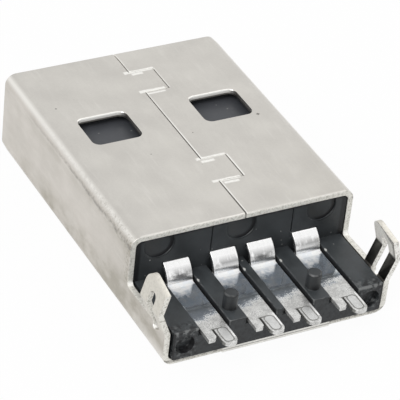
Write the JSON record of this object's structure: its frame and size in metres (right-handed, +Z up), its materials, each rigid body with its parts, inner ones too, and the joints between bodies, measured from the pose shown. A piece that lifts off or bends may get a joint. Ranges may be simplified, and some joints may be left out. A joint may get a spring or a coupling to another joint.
{
  "type": "usb-a plug",
  "caption": "Board-mount plug with a folded metal shell, interlocked seam, moulded tongue and tray, bent flat contacts, locating pegs and slotted board-lock ears.",
  "frame": {"origin": "under the middle of the whole plug, on the plain face that it rests on", "axes": "+Y towards the mating end, +Z up towards the circuit board, X across the plug"},
  "size_m": [0.013, 0.0202, 0.0046],
  "materials": {
    "shell": "satin nickel plating with faint handling scratches",
    "housing": "moulded, fine matt texture",
    "contact": "matt tin plating on the tails, brighter on the bends"
  },
  "bodies": {
    "root": {"shell": "shell", "housing": "housing", "contact_1": "contact", "contact_2": "contact", "contact_3": "contact", "contact_4": "contact"}
  },
  "joints": []
}
